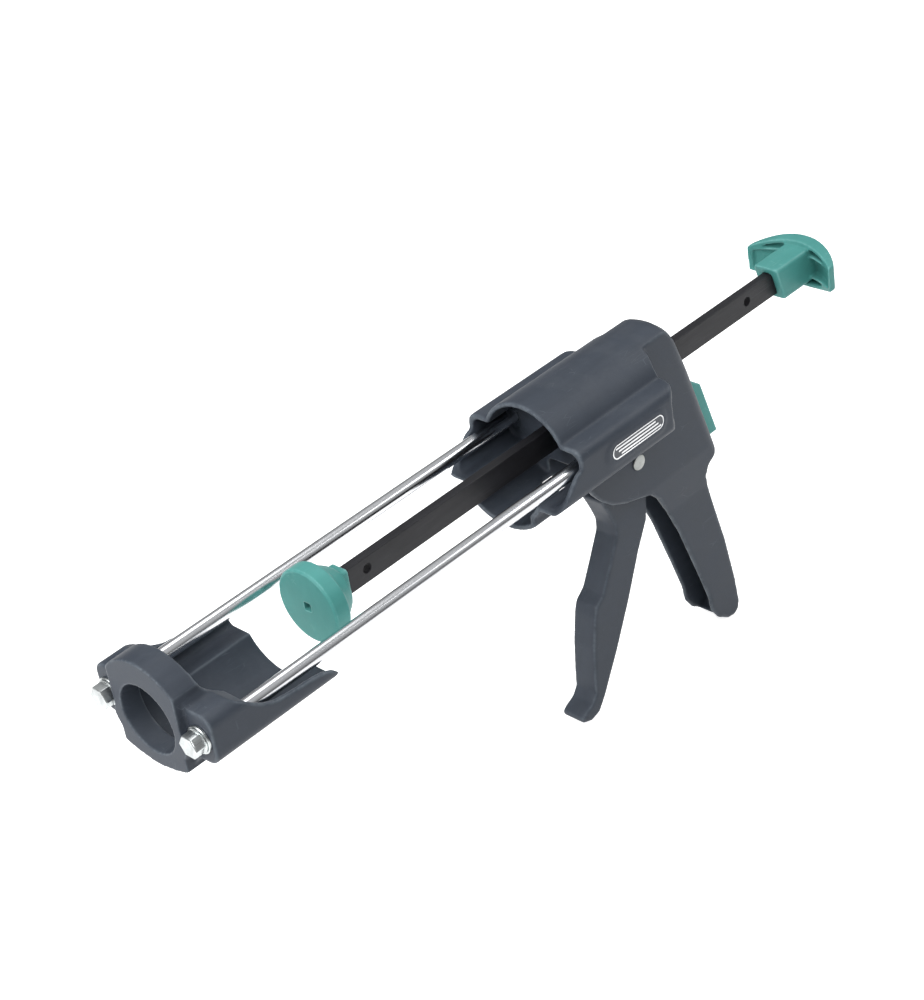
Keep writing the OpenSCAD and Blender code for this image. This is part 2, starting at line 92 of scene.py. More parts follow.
class Sheet:
    """A node tree with short calls for adding and joining nodes."""

    def __init__(self, tree: bpy.types.NodeTree) -> None:
        """Wrap a tree.

        Args:
            tree: The shader tree or group tree to work on.
        """
        self.tree = tree

    def add(self, kind: str, **settings: object) -> bpy.types.Node:
        """Add a node and set its plain attributes.

        Args:
            kind: The node's type name without the ShaderNode prefix.
            settings: Attribute values to set on the new node.

        Returns:
            The new node.
        """
        node = self.tree.nodes.new("ShaderNode" + kind)
        for name, value in settings.items():
            setattr(node, name, value)
        return node

    def feed(self, target: Socket, value: Socket | float | tuple) -> None:
        """Join a socket to a target, or set the target's constant.

        Args:
            target: The input socket.
            value: An output socket, or a constant.
        """
        if isinstance(value, bpy.types.NodeSocket):
            self.tree.links.new(value, target)
        else:
            target.default_value = value

    def maths(self, operation: str, a: Socket | float, b: Socket | float = 0.0) -> Socket:
        """Combine two numbers.

        Args:
            operation: The Math node's operation.
            a: First value.
            b: Second value.

        Returns:
            The result socket.
        """
        node = self.add("Math", operation=operation)
        self.feed(node.inputs[0], a)
        self.feed(node.inputs[1], b)
        return node.outputs[0]

    def step(
        self, value: Socket, low: float, high: float, out: tuple[float, float] = (0, 1)
    ) -> Socket:
        """Remap a value smoothly between two levels.

        Args:
            value: The varying input.
            low: Level that gives the first output.
            high: Level that gives the second output.
            out: The two outputs.

        Returns:
            The remapped socket.
        """
        node = self.add("MapRange", interpolation_type="SMOOTHSTEP")
        self.feed(node.inputs["Value"], value)
        self.feed(node.inputs["From Min"], low)
        self.feed(node.inputs["From Max"], high)
        self.feed(node.inputs["To Min"], out[0])
        self.feed(node.inputs["To Max"], out[1])
        return node.outputs["Result"]

    def blend(self, mask: Socket | float, a: Socket | tuple, b: Socket | tuple) -> Socket:
        """Mix two colours by a mask.

        Args:
            mask: 0 shows a, 1 shows b.
            a: First colour.
            b: Second colour.

        Returns:
            The mixed colour socket.
        """
        node = self.add("Mix", data_type="RGBA")
        self.feed(node.inputs["Factor"], mask)
        self.feed(node.inputs["A"], a)
        self.feed(node.inputs["B"], b)
        return node.outputs["Result"]

    def noise(
        self, coords: Socket, scale: Socket | float, detail: float = 2.0, rough: float = 0.5
    ) -> Socket:
        """Sample smooth noise.

        Args:
            coords: Vector socket.
            scale: Cells per metre.
            detail: Octaves.
            rough: Roughness of the octaves.

        Returns:
            The value socket.
        """
        node = self.add("TexNoise")
        self.feed(node.inputs["Vector"], coords)
        self.feed(node.inputs["Scale"], scale)
        node.inputs["Detail"].default_value = detail
        node.inputs["Roughness"].default_value = rough
        return node.outputs["Fac"]

    def stretched(self, coords: Socket, factors: tuple[float, float, float]) -> Socket:
        """Scale coordinates along each axis.

        Args:
            coords: Vector socket.
            factors: One factor for each axis.

        Returns:
            The scaled vector socket.
        """
        node = self.add("Mapping")
        self.feed(node.inputs["Vector"], coords)
        node.inputs["Scale"].default_value = factors
        return node.outputs["Vector"]


def new_group(
    name: str, inputs: dict[str, str], outputs: dict[str, str]
) -> tuple[Sheet, dict[str, Socket], dict[str, Socket]]:
    """Start a shader node group with named sockets.

    Args:
        name: The group's name.
        inputs: Socket name to socket type, such as NodeSocketFloat.
        outputs: Socket name to socket type.

    Returns:
        The group's sheet, its input sockets by name and its output sockets by name.
    """
    tree = bpy.data.node_groups.new(name, "ShaderNodeTree")
    for label, kind in inputs.items():
        tree.interface.new_socket(label, in_out="INPUT", socket_type=kind)
    for label, kind in outputs.items():
        tree.interface.new_socket(label, in_out="OUTPUT", socket_type=kind)
    source = tree.nodes.new("NodeGroupInput")
    target = tree.nodes.new("NodeGroupOutput")
    return (
        Sheet(tree),
        {label: source.outputs[label] for label in inputs},
        {label: target.inputs[label] for label in outputs},
    )


def moulding_grain_group() -> bpy.types.NodeTree:
    """Build the spark-eroded grain and slow mottle of a moulded surface.

    Returns:
        The node group.
    """
    sheet, given, out = new_group(
        "moulding_grain",
        {"Coordinates": VECTOR, "Grain": FLOAT},
        {"Height": FLOAT, "Mottle": FLOAT},
    )
    fine = sheet.noise(given["Coordinates"], given["Grain"], 3.0, 0.6)
    pits = sheet.add("TexVoronoi", feature="F1")
    sheet.feed(pits.inputs["Vector"], given["Coordinates"])
    sheet.feed(pits.inputs["Scale"], sheet.maths("MULTIPLY", given["Grain"], 0.7))
    rough = sheet.maths("MULTIPLY", pits.outputs["Distance"], 0.6)
    sheet.feed(out["Height"], sheet.maths("ADD", fine, rough))
    slow = sheet.noise(given["Coordinates"], 34.0, 4.0, 0.55)
    flow = sheet.noise(sheet.stretched(given["Coordinates"], (9, 60, 26)), 3.0, 3.0, 0.6)
    sheet.feed(out["Mottle"], sheet.maths("MULTIPLY", sheet.maths("ADD", slow, flow), 0.5))
    return sheet.tree


def handling_and_highlight_group() -> bpy.types.NodeTree:
    """Build a mask of rubbed edges, which also paints an edge highlight, and faint scuffs.

    Returns:
        The node group.
    """
    sheet, given, out = new_group(
        "handling_and_highlight_marks",
        {"Coordinates": VECTOR, "Edge": FLOAT, "Amount": FLOAT},
        {"RubHighlight": FLOAT, "Scuff": FLOAT},
    )
    patch = sheet.noise(given["Coordinates"], 90.0, 5.0, 0.7)
    # Sharp edges found by pointiness: partly edge wear, partly a painted highlight.
    edge = sheet.step(given["Edge"], 0.504, 0.55)
    rub_and_highlight = sheet.maths("MULTIPLY", edge, sheet.step(patch, 0.35, 0.62, (0.25, 1.0)))
    sheet.feed(out["RubHighlight"], sheet.maths("MULTIPLY", rub_and_highlight, given["Amount"]))
    lines = sheet.add("TexVoronoi", feature="DISTANCE_TO_EDGE")
    sheet.feed(lines.inputs["Vector"], sheet.stretched(given["Coordinates"], (60, 400, 170)))
    lines.inputs["Scale"].default_value = 1.0
    thin = sheet.step(lines.outputs["Distance"], 0.004, 0.02, (1.0, 0.0))
    some = sheet.step(sheet.noise(given["Coordinates"], 55.0, 2.0), 0.56, 0.68)
    scuff = sheet.maths("MULTIPLY", thin, some)
    sheet.feed(out["Scuff"], sheet.maths("MULTIPLY", scuff, given["Amount"]))
    return sheet.tree


def dust_group() -> bpy.types.NodeTree:
    """Build a mask of light dust on faces that look up.

    Returns:
        The node group.
    """
    sheet, given, out = new_group(
        "settled_dust", {"Coordinates": VECTOR, "Facing": VECTOR}, {"Dust": FLOAT}
    )
    split = sheet.add("SeparateXYZ")
    sheet.feed(split.inputs[0], given["Facing"])
    up = sheet.step(split.outputs["Z"], 0.25, 1.0)
    cloud = sheet.step(sheet.noise(given["Coordinates"], 48.0, 6.0, 0.7), 0.42, 0.75)
    sheet.feed(out["Dust"], sheet.maths("MULTIPLY", up, cloud))
    return sheet.tree


def drawn_group() -> bpy.types.NodeTree:
    """Build the long fine lines of drawn or ground steel along X.

    Returns:
        The node group.
    """
    sheet, given, out = new_group(
        "drawn_lines", {"Coordinates": VECTOR}, {"Lines": FLOAT, "Cloud": FLOAT}
    )
    fine = sheet.stretched(given["Coordinates"], (14, 3200, 3200))
    sheet.feed(out["Lines"], sheet.noise(fine, 1.0, 3.0, 0.65))
    broad = sheet.stretched(given["Coordinates"], (20, 110, 110))
    sheet.feed(out["Cloud"], sheet.noise(broad, 1.0, 4.0, 0.6))
    return sheet.tree


@dataclass(frozen=True)
class Effects:
    """The node groups that several finishes share."""

    grain: bpy.types.NodeTree
    handling_and_highlight: bpy.types.NodeTree
    dust: bpy.types.NodeTree
    drawn: bpy.types.NodeTree


EFFECTS = Effects(moulding_grain_group(), handling_and_highlight_group(), dust_group(), drawn_group())


def opaque(colour: Colour, gain: float = 1.0) -> tuple[float, float, float, float]:
    """Give a colour full alpha.

    Args:
        colour: Red, green and blue.
        gain: What each of them is multiplied by.

    Returns:
        The colour with its alpha.
    """
    return (*(channel * gain for channel in colour), 1)


def start_material(name: str) -> tuple[bpy.types.Material, Sheet, bpy.types.Node, Socket]:
    """Start a material with one Principled shader.

    Args:
        name: The material's name.

    Returns:
        The material, its sheet, its shader node and its Object coordinates.
    """
    material = bpy.data.materials.new(name)
    material.use_nodes = True
    sheet = Sheet(material.node_tree)
    shader = material.node_tree.nodes["Principled BSDF"]
    coords = sheet.add("TexCoord").outputs["Object"]
    return material, sheet, shader, coords


def place(sheet: Sheet, group: bpy.types.NodeTree, **values: Socket | float) -> bpy.types.Node:
    """Place a shared effect in a material.

    Args:
        sheet: The material's sheet.
        group: The effect's node group.
        values: Input name to socket or constant.

    Returns:
        The group node.
    """
    node = sheet.add("Group", node_tree=group)
    for label, value in values.items():
        sheet.feed(node.inputs[label], value)
    return node


def raise_bump(sheet: Sheet, shader: bpy.types.Node, height: Socket, depth: float) -> None:
    """Feed a height into the shader's normal.

    Args:
        sheet: The material's sheet.
        shader: The Principled node.
        height: The varying height, from 0 to 1.
        depth: What a height of 1 stands for, in metres.
    """
    bump = sheet.add("Bump")
    bump.inputs["Strength"].default_value = 1.0
    bump.inputs["Distance"].default_value = depth
    sheet.feed(bump.inputs["Height"], height)
    sheet.feed(shader.inputs["Normal"], bump.outputs["Normal"])


@dataclass(frozen=True)
class MouldedPlastic:
    """A fine-grained injection moulding with rubbed edges lightened partly as wear and partly as a
    painted highlight, and a little dust.
    """

    name: str
    slot: Slot
    colour: Colour
    pale: Colour
    rubbed_and_highlit: Colour
    roughness: float
    depth: float = 0.00003
    # Strength of the lightened edges, partly wear and partly a painted highlight, and of the
    # scuffs.
    wear_and_highlight: float = 0.8
    shine: float = 0.2

    def material(self) -> bpy.types.Material:
        """Build the material.

        Returns:
            The new material.
        """
        material, sheet, shader, coords = start_material(self.name)
        facing = sheet.add("TexCoord").outputs["Normal"]
        edge = sheet.add("NewGeometry").outputs["Pointiness"]
        grain = place(sheet, EFFECTS.grain, Coordinates=coords, Grain=1500.0)
        marks = place(sheet, EFFECTS.handling_and_highlight, Coordinates=coords, Edge=edge, Amount=self.wear_and_highlight)
        dust = place(sheet, EFFECTS.dust, Coordinates=coords, Facing=facing)
        mottle = sheet.step(grain.outputs["Mottle"], 0.35, 0.68)
        base = sheet.blend(mottle, opaque(self.colour), opaque(self.pale))
        # Sharp edges take the lighter rubbed colour, partly as wear and partly as a painted
        # highlight.
        for mask, strength, tint in (
            (marks.outputs["RubHighlight"], 0.8, self.rubbed_and_highlit),
            (marks.outputs["Scuff"], 0.3, self.rubbed_and_highlit),
            (dust.outputs["Dust"], 0.02, DUST),
        ):
            base = sheet.blend(sheet.maths("MULTIPLY", mask, strength), base, opaque(tint))
        sheet.feed(shader.inputs["Base Color"], base)
        shader.inputs["Specular IOR Level"].default_value = self.shine
        between = (self.roughness - 0.05, self.roughness + 0.06)
        rough = sheet.step(grain.outputs["Mottle"], 0.3, 0.7, between)
        rough = sheet.maths("SUBTRACT", rough, sheet.maths("MULTIPLY", marks.outputs["RubHighlight"], 0.12))
        rough = sheet.maths("ADD", rough, sheet.maths("MULTIPLY", dust.outputs["Dust"], 0.05))
        sheet.feed(shader.inputs["Roughness"], rough)
        raise_bump(sheet, shader, grain.outputs["Height"], self.depth)
        return material


@dataclass(frozen=True)
class BrightSteel:
    """Plated or bare steel with fine drawn lines and cloudy plating."""

    name: str
    slot: Slot
    colour: Colour
    dull: Colour
    roughness: float
    spread: float = 0.1
    depth: float = 0.000004

    def material(self) -> bpy.types.Material:
        """Build the material.

        Returns:
            The new material.
        """
        material, sheet, shader, coords = start_material(self.name)
        drawn = place(sheet, EFFECTS.drawn, Coordinates=coords)
        edge = sheet.add("NewGeometry").outputs["Pointiness"]
        marks = place(sheet, EFFECTS.handling_and_highlight, Coordinates=coords, Edge=edge, Amount=0.7)
        cloud = sheet.step(drawn.outputs["Cloud"], 0.38, 0.66)
        base = sheet.blend(cloud, opaque(self.colour), opaque(self.dull))
        scuff = sheet.maths("MULTIPLY", marks.outputs["Scuff"], 0.5)
        sheet.feed(shader.inputs["Base Color"], sheet.blend(scuff, base, opaque(self.dull)))
        shader.inputs["Metallic"].default_value = 1.0
        between = (self.roughness, self.roughness + self.spread)
        rough = sheet.step(drawn.outputs["Lines"], 0.3, 0.7, between)
        rough = sheet.maths("ADD", rough, sheet.maths("MULTIPLY", cloud, self.spread * 0.6))
        sheet.feed(shader.inputs["Roughness"], rough)
        raise_bump(sheet, shader, drawn.outputs["Lines"], self.depth)
        return material


@dataclass(frozen=True)
class BlackedSteel:
    """A black coating, streaked bare where it slides."""

    name: str
    slot: Slot
    colour: Colour
    bare: Colour
    roughness: float
    depth: float = 0.000006
    shine: float = 0.22

    def material(self) -> bpy.types.Material:
        """Build the material.

        Returns:
            The new material.
        """
        material, sheet, shader, coords = start_material(self.name)
        drawn = place(sheet, EFFECTS.drawn, Coordinates=coords)
        streak = sheet.maths(
            "MULTIPLY",
            sheet.step(drawn.outputs["Lines"], 0.58, 0.72),
            sheet.step(drawn.outputs["Cloud"], 0.5, 0.66),
        )
        bare = sheet.maths("MULTIPLY", streak, 0.4)
        tint = sheet.step(drawn.outputs["Cloud"], 0.3, 0.7)
        base = sheet.blend(tint, opaque(self.colour), opaque(self.colour, 1.5))
        shader.inputs["Specular IOR Level"].default_value = self.shine
        half_bare = sheet.maths("MULTIPLY", bare, 0.5)
        sheet.feed(shader.inputs["Base Color"], sheet.blend(half_bare, base, opaque(self.bare)))
        sheet.feed(shader.inputs["Metallic"], sheet.maths("MULTIPLY", bare, 0.7))
        between = (self.roughness, self.roughness + 0.14)
        rough = sheet.step(drawn.outputs["Lines"], 0.3, 0.7, between)
        sheet.feed(shader.inputs["Roughness"], rough)
        raise_bump(sheet, shader, drawn.outputs["Lines"], self.depth)
        return material


@dataclass(frozen=True)
class InlaidPlate:
    """A dark painted plate whose raised rim and bars are wiped back to bright metal."""

    name: str
    slot: Slot
    paint: Colour
    metal: Colour
    level: float
    edge: float = 0.00002
    depth: float = 0.000004

    def material(self) -> bpy.types.Material:
        """Build the material.

        Returns:
            The new material.
        """
        material, sheet, shader, coords = start_material(self.name)
        split = sheet.add("SeparateXYZ")
        sheet.feed(split.inputs[0], coords)
        height = sheet.maths("ABSOLUTE", split.outputs["Y"])
        raised = sheet.step(height, self.level - self.edge, self.level + self.edge)
        drawn = place(sheet, EFFECTS.drawn, Coordinates=coords)
        cloud = sheet.step(drawn.outputs["Cloud"], 0.35, 0.7)
        metal = sheet.blend(cloud, opaque(self.metal), opaque(self.metal, 0.8))
        paint = sheet.blend(cloud, opaque(self.paint), opaque(self.paint, 1.2))
        sheet.feed(shader.inputs["Base Color"], sheet.blend(raised, paint, metal))
        sheet.feed(shader.inputs["Metallic"], raised)
        rough = sheet.step(drawn.outputs["Lines"], 0.3, 0.7, (0.28, 0.42))
        sheet.feed(shader.inputs["Roughness"], rough)
        raise_bump(sheet, shader, drawn.outputs["Lines"], self.depth)
        return material


@dataclass(frozen=True)
class Finishes:
    """Every finish on the gun."""

    # Each rubbed colour lightens sharp edges, partly as wear and partly as a painted highlight.
    slate: MouldedPlastic = MouldedPlastic(
        "slate_moulding", Slot.BODY_PLASTIC, roughness=0.46,
        colour=(0.038, 0.046, 0.06), pale=(0.045, 0.054, 0.07), rubbed_and_highlit=(0.14, 0.165, 0.19),
    )
    teal: MouldedPlastic = MouldedPlastic(
        "teal_moulding", Slot.TEAL_PLASTIC, roughness=0.42, depth=0.00002,
        colour=(0.062, 0.25, 0.23), pale=(0.075, 0.28, 0.26), rubbed_and_highlit=(0.24, 0.52, 0.5),
    )
    zinc: BrightSteel = BrightSteel(
        "bright_zinc", Slot.ZINC, (0.8, 0.81, 0.83), (0.7, 0.71, 0.73), roughness=0.14, spread=0.07
    )
    bolt: BrightSteel = BrightSteel(
        "bolt_zinc", Slot.ZINC, (0.6, 0.63, 0.63), (0.46, 0.48, 0.48), roughness=0.24
    )
    dull_zinc: BrightSteel = BrightSteel(
        "dull_zinc", Slot.ZINC, (0.34, 0.35, 0.34), (0.22, 0.23, 0.22), roughness=0.3
    )
    wire: BrightSteel = BrightSteel(
        "spring_wire", Slot.SPRING_STEEL, (0.46, 0.46, 0.47), (0.26, 0.26, 0.27), roughness=0.28
    )
    stamped: BrightSteel = BrightSteel(
        "stamped_plate", Slot.PLATE_STEEL, (0.56, 0.57, 0.58), (0.34, 0.34, 0.35), roughness=0.26
    )
    black: BlackedSteel = BlackedSteel(
        "black_bar_coat", Slot.BLACK_BAR, (0.013, 0.013, 0.015), (0.3, 0.3, 0.31), roughness=0.36
    )
    badge: InlaidPlate = InlaidPlate(
        "badge_inlay", Slot.BADGE_SILVER, (0.04, 0.046, 0.056), (0.86, 0.87, 0.88), level=0.04058
    )


FINISHES = Finishes()
Finish = MouldedPlastic | BrightSteel | BlackedSteel | InlaidPlate


# ------------------------------------------------------------------ mesh makers


def finish_piece(
    bm: bmesh.types.BMesh,
    name: str,
    body: Body,
    finish: Finish,
    stands_for: tuple[str, ...] = (),
    crease: float = 35.0,
) -> bpy.types.Object:
    """Turn a bmesh into a finished piece that rides on its body.

    Args:
        bm: The built mesh, which is freed.
        name: The piece's name.
        body: The body it rides on.
        finish: Its finish.
        stands_for: The CAD nodes it replaces.
        crease: Edges sharper than this angle, in degrees, are shaded sharp.

    Returns:
        The new object.
    """
    bmesh.ops.remove_doubles(bm, verts=bm.verts, dist=1e-6)
    bmesh.ops.recalc_face_normals(bm, faces=bm.faces)
    mesh = bpy.data.meshes.new(name)
    bm.to_mesh(mesh)
    bm.free()
    mesh.shade_smooth()
    mesh.set_sharp_from_angle(angle=math.radians(crease))
    piece = bpy.data.objects.new(name, mesh)
    bpy.context.scene.collection.objects.link(piece)
    mesh.materials.append(material_of(finish))
    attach(piece, body.value)
    if stands_for:
        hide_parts(*stands_for)
    log.info("%s: %d faces on %s", name, len(mesh.polygons), body.value)
    return piece


def material_of(finish: Finish) -> bpy.types.Material:
    """Find a finish's material, or build it on first use.

    Args:
        finish: The finish.

    Returns:
        The material.
    """
    return bpy.data.materials.get(finish.name) or finish.material()


def dress_node(node: str, finish: Finish) -> None:
    """Give a carried-over CAD node its finish.

    Args:
        node: The CAD node's name.
        finish: The finish.
    """
    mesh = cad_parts[node].data
    mesh.materials.clear()
    mesh.materials.append(material_of(finish))
    log.info("%s: CAD node in %s", node, finish.name)


def lathe(
    bm: bmesh.types.BMesh,
    profile: list[tuple[float, float]],
    centre: Vector,
    axis: Vector,
    steps: int = 56,
) -> None:
    """Spin a profile into a turned shape.

    Args:
        bm: The mesh to add to.
        profile: (distance along the axis, radius) pairs, in millimetres.
        centre: The point on the axis that distances start from, in metres.
        axis: Unit vector along the axis.
        steps: Steps in the full turn.
    """
    across = axis.orthogonal().normalized()
    points = [bm.verts.new(centre + axis * (a * MM) + across * (r * MM)) for a, r in profile]
    edges = [bm.edges.new(pair) for pair in zip(points, points[1:])]
    bmesh.ops.spin(
        bm, geom=points + edges, cent=centre, axis=axis, angle=math.tau, steps=steps, use_merge=True
    )
    bmesh.ops.remove_doubles(bm, verts=bm.verts, dist=1e-7)


def baked(blank: bpy.types.Object) -> bpy.types.Mesh:
    """Apply an object's modifiers to a new mesh.

    Args:
        blank: The object, which is left as it is.

    Returns:
        The new mesh.
    """
    bpy.context.view_layer.update()
    graph = bpy.context.evaluated_depsgraph_get()
    return bpy.data.meshes.new_from_object(blank.evaluated_get(graph))


def ease(
    bm: bmesh.types.BMesh,
    edges: list[bmesh.types.BMEdge],
    width: float,
    steps: int,
    clamp: bool = False,
) -> None:
    """Bevel edges into a small round.

    Args:
        bm: The mesh they are in.
        edges: The edges to bevel.
        width: How far the round reaches from each edge, in millimetres.
        steps: Faces across the round.
        clamp: Whether the width shrinks where two rounds would meet.
    """
    bmesh.ops.bevel(
        bm, geom=edges, offset=width * MM, offset_type="OFFSET", segments=steps, profile=0.5,
        affect="EDGES", clamp_overlap=clamp, material=-1,
    )


def cast(
    node: str,
    name: str,
    body: Body,
    finish: MouldedPlastic,
    cell: float,
    passes: int,
) -> None:
    """Cast a moulding over a CAD solid, with its edges and corners softened.

    Args:
        node: The CAD node that gives the shape.
        name: The new piece's name.
        body: The body it rides on.
        finish: Its finish.
        cell: Size of the cells the surface is rebuilt in, in millimetres.
        passes: Smoothing passes, which set how round the edges are.
    """
    bm = bmesh.new()
    bm.from_mesh(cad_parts[node].data)
    bmesh.ops.remove_doubles(bm, verts=bm.verts, dist=1e-6)
    rough = bpy.data.meshes.new(name + "_rough")
    bm.to_mesh(rough)
    bm.free()
    blank = bpy.data.objects.new(name + "_blank", rough)
    bpy.context.scene.collection.objects.link(blank)
    remesh = blank.modifiers.new("cells", "REMESH")
    remesh.mode = "VOXEL"
    remesh.voxel_size = cell * MM
    soften = blank.modifiers.new("soften", "SMOOTH")
    soften.factor = 0.5
    soften.iterations = passes
    shape = baked(blank)
    triangles = sum(len(p.vertices) - 2 for p in shape.polygons)
    if triangles > TRIANGLE_LIMIT:
        blank.modifiers.clear()
        blank.data = shape
        thin = blank.modifiers.new("thin", "DECIMATE")
        thin.ratio = TRIANGLE_LIMIT / triangles
        shape = baked(blank)
    made = bmesh.new()
    made.from_mesh(shape)
    bpy.data.objects.remove(blank)
    finish_piece(made, name, body, finish, (node,), crease=180.0)


def eased(node: str, name: str, body: Body, finish: Finish, width: float) -> None:
    """Remake a pressed or sawn part from its CAD solid, with its sharp edges eased.

    Args:
        node: The CAD node that gives the shape.
        name: The new piece's name.
        body: The body it rides on.
        finish: Its finish.
        width: Width of the eased edges, in millimetres.
    """
    bm = bmesh.new()
    bm.from_mesh(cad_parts[node].data)
    bmesh.ops.remove_doubles(bm, verts=bm.verts, dist=1e-6)
    bmesh.ops.recalc_face_normals(bm, faces=bm.faces)
    bmesh.ops.dissolve_limit(bm, angle_limit=math.radians(1.0), verts=bm.verts, edges=bm.edges)
    limit = math.radians(40)
    sharp = [e for e in bm.edges if len(e.link_faces) == 2 and e.calc_face_angle() > limit]
    ease(bm, sharp, width, 2, clamp=True)
    finish_piece(bm, name, body, finish, (node,), crease=15.0)


# ------------------------------------------------------------------ sub-assemblies


@dataclass
class FrontFrame:
    """The bored front plate with its crown, lugs and cradle."""

    cell: float = 0.7
    passes: int = 6

    def build(self) -> None:
        """Cast the moulding."""
        cast("front_frame", "front_moulding", Body.FRAME, FINISHES.slate, self.cell, self.passes)


@dataclass
class RailSet:
    """The two plated rails, with threaded rear ends, and their nuts."""

    gap: float = 64.0
    radius: float = 4.0
    front: float = -10.0
    rear: float = -312.0
    thread: float = 20.0
    pitch: float = 1.25
    groove: float = 0.55
    taper: float = 0.8
    chamfer: float = 0.6

    def build(self) -> None:
        """Turn both rails and dress their nuts."""
        for side, node in ((1, "left_rail"), (-1, "right_rail")):
            bm = bmesh.new()
            centre = Vector((0, side * self.gap / 2 * MM, 0))
            lathe(bm, self.profile(), centre, ALONG, 72)
            finish_piece(bm, node + "_rod", Body.FRAME, FINISHES.zinc, (node,))
        eased("rail_nuts", "rail_nuts_eased", Body.FRAME, FINISHES.bolt, 0.3)

    def profile(self) -> list[tuple[float, float]]:
        """Draw the rail's outline, with grooves for the thread at its rear end.

        Returns:
            (distance along the axis, radius) pairs, in millimetres.
        """
        outline = [(self.rear, 0.0), (self.rear, self.radius - self.taper)]
        for turn in range(int(self.thread / self.pitch)):
            x = self.rear + self.taper / 2 + turn * self.pitch
            outline += [(x, self.radius - self.groove), (x + self.pitch / 2, self.radius)]
        return outline + [
            (self.front - self.chamfer, self.radius),
            (self.front, self.radius - self.chamfer),
            (self.front, 0.0),
        ]


@dataclass
class FrontFasteners:
    """Hex flange bolts and washers that hold the front frame on the rails."""

    gap: float = 64.0
    seat: float = -5.0
    washer_r: float = 7.5
    washer_t: float = 1.5
    flats: float = 11.0
    flange: float = 1.0
    head: float = 5.5
    shank_r: float = 2.45
    shank_tip: float = -24.0
    hole_r: float = 2.6

    def build(self) -> None:
        """Build both bolts as one piece and both washers as another."""
        bolts, washers = bmesh.new(), bmesh.new()
        for side in (-1, 1):
            centre = Vector((0, side * self.gap / 2 * MM, 0))
            self.bolt(bolts, centre)
            self.washer(washers, centre)
        for bm, name, node in (
            (bolts, "flange_bolts", "front_bolts"),
            (washers, "flat_washers", "front_washers"),
        ):
            finish_piece(bm, name, Body.FRAME, FINISHES.bolt, (node,), crease=28.0)

    def washer(self, bm: bmesh.types.BMesh, centre: Vector) -> None:
        """Turn one washer with eased rims.

        Args:
            bm: The mesh to add to.
            centre: The rail's axis at the origin plane.
        """
        back, face, r = self.seat, self.seat + self.washer_t, self.washer_r
        ring = [
            (back, self.hole_r), (back, r - 0.25), (back + 0.25, r),
            (face - 0.35, r), (face, r - 0.35), (face, self.hole_r), (back, self.hole_r),
        ]
        lathe(bm, ring, centre, ALONG)

    def bolt(self, bm: bmesh.types.BMesh, centre: Vector) -> None:
        """Build one bolt: shank, sloped flange and dished hex head.

        Args:
            bm: The mesh to add to.
            centre: The rail's axis at the origin plane.
        """
        base = self.seat + self.washer_t
        rim, neck = self.flats / 2 + 1.2, self.flats / 2 - 0.4
        tip, shank = self.shank_tip, self.shank_r
        outline = [
            (tip, 0.0), (tip, 1.9), (tip + 0.8, shank), (base, shank),
            (base, rim - 0.25), (base + 0.25, rim), (base + 0.7, rim),
            (base + self.flange + 0.5, neck), (base + self.flange + 0.5, 0.0),
        ]
        lathe(bm, outline, centre, ALONG)
        self.hex_head(bm, centre, centre + ALONG * ((base + self.flange + self.head / 2) * MM))

    def hex_head(self, bm: bmesh.types.BMesh, centre: Vector, middle: Vector) -> None:
        """Add a hex head with its crown and corners eased and its top dished.

        Args:
            bm: The mesh to add to.
            centre: The rail's axis at the origin plane.
            middle: The middle of the head.
        """
        corner = self.flats / 2 / math.cos(math.radians(30)) * MM
        height = self.head * MM
        turn = Matrix.Translation(middle) @ Matrix.Rotation(math.radians(90), 4, "Y")
        made = bmesh.ops.create_cone(
            bm, cap_ends=True, segments=6, radius1=corner, radius2=corner, depth=height, matrix=turn
        )
        faces = [face for vert in made["verts"] for face in vert.link_faces]
        top = max(faces, key=lambda face: face.calc_center_median().x)
        ease(bm, list(top.edges), 0.75, 3)
        ease(bm, [e for e in bm.edges if self.is_corner(e, centre, corner, height)], 0.3, 2)
        near = [f for f in bm.faces if (f.calc_center_median() - centre).yz.length < 0.0015]
        crown = max(near, key=lambda face: face.calc_center_median().x)
        bmesh.ops.inset_region(bm, faces=[crown], thickness=1.0 * MM, depth=0.0)
        bmesh.ops.inset_region(bm, faces=[crown], thickness=0.9 * MM, depth=-0.35 * MM)

    def is_corner(
        self, edge: bmesh.types.BMEdge, centre: Vector, corner: float, height: float
    ) -> bool:
        """Tell whether an edge is one of the head's six long corners.

        Args:
            edge: The edge.
            centre: A point on the bolt's axis.
            corner: The head's radius over its corners, in metres.
            height: The head's height, in metres.

        Returns:
            True where the edge runs along the axis, out at the corners.
        """
        start, end = (vert.co for vert in edge.verts)
        length = edge.calc_length()
        return (
            abs((start - end).normalized().x) > 0.99
            and max(0.003, height - 0.0015) < length < height + 0.0015
            and (start - centre).yz.length > corner * 0.97
        )


